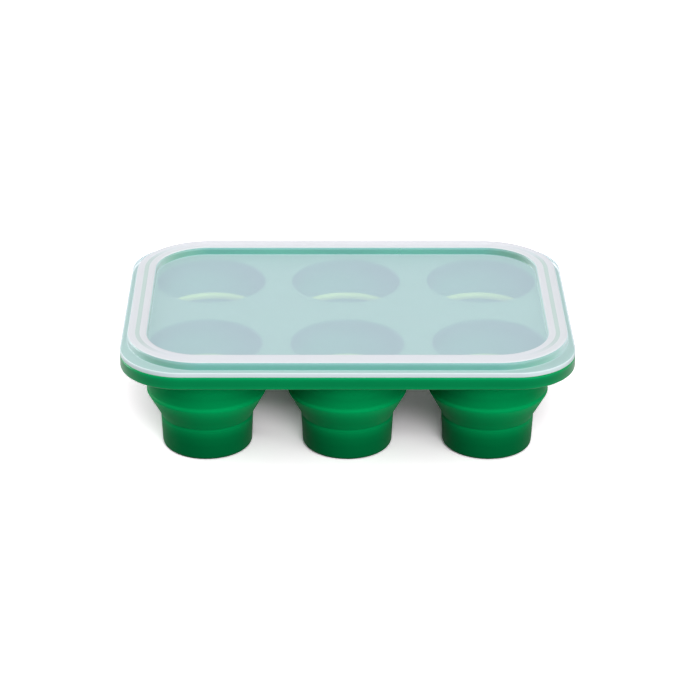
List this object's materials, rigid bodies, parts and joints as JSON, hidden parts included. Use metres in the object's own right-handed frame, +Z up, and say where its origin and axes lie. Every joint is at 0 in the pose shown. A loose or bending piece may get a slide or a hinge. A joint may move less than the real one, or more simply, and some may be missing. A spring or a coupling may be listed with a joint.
{
  "type": "freezer tray",
  "caption": "Silicone freezer tray of round stepped cups that fold up into their collars, hung from one deck, with a frosted press-on lid over an upstanding lip.",
  "frame": {"origin": "on the surface the cups stand on, under the middle of the tray", "axes": "+X along the three columns of cups, +Y from front to back, +Z up"},
  "size_m": [0.21, 0.149, 0.0574],
  "materials": {
    "silicone": "satin green moulded silicone",
    "frosted_plastic": "frosted translucent polypropylene",
    "insert_plastic": "natural polypropylene, hidden"
  },
  "bodies": {
    "tray": {"deck": "silicone", "rim_insert": "insert_plastic", "front_left_collar": "silicone", "front_left_fold": "silicone", "front_middle_collar": "silicone", "front_middle_fold": "silicone", "front_right_collar": "silicone", "front_right_fold": "silicone", "back_left_collar": "silicone", "back_left_fold": "silicone", "back_middle_collar": "silicone", "back_middle_fold": "silicone", "back_right_collar": "silicone", "back_right_fold": "silicone"},
    "front_left_cup": {"front_left_base": "silicone"},
    "front_middle_cup": {"front_middle_base": "silicone"},
    "front_right_cup": {"front_right_base": "silicone"},
    "back_left_cup": {"back_left_base": "silicone"},
    "back_middle_cup": {"back_middle_base": "silicone"},
    "back_right_cup": {"back_right_base": "silicone"},
    "lid": {"lid": "frosted_plastic"}
  },
  "joints": [
    {"name": "front_left_push", "type": "slide", "parent": "tray", "child": "front_left_cup", "axis": [0, 0, 1], "range_m": [0, 0.0272], "deforming": ["front_left_fold"]},
    {"name": "front_middle_push", "type": "slide", "parent": "tray", "child": "front_middle_cup", "axis": [0, 0, 1], "range_m": [0, 0.0272], "deforming": ["front_middle_fold"]},
    {"name": "front_right_push", "type": "slide", "parent": "tray", "child": "front_right_cup", "axis": [0, 0, 1], "range_m": [0, 0.0272], "deforming": ["front_right_fold"]},
    {"name": "back_left_push", "type": "slide", "parent": "tray", "child": "back_left_cup", "axis": [0, 0, 1], "range_m": [0, 0.0272], "deforming": ["back_left_fold"]},
    {"name": "back_middle_push", "type": "slide", "parent": "tray", "child": "back_middle_cup", "axis": [0, 0, 1], "range_m": [0, 0.0272], "deforming": ["back_middle_fold"]},
    {"name": "back_right_push", "type": "slide", "parent": "tray", "child": "back_right_cup", "axis": [0, 0, 1], "range_m": [0, 0.0272], "deforming": ["back_right_fold"]},
    {"name": "lid_lift", "type": "slide", "parent": "tray", "child": "lid", "axis": [0, 0, 1], "range_m": [0, 0.08]}
  ]
}
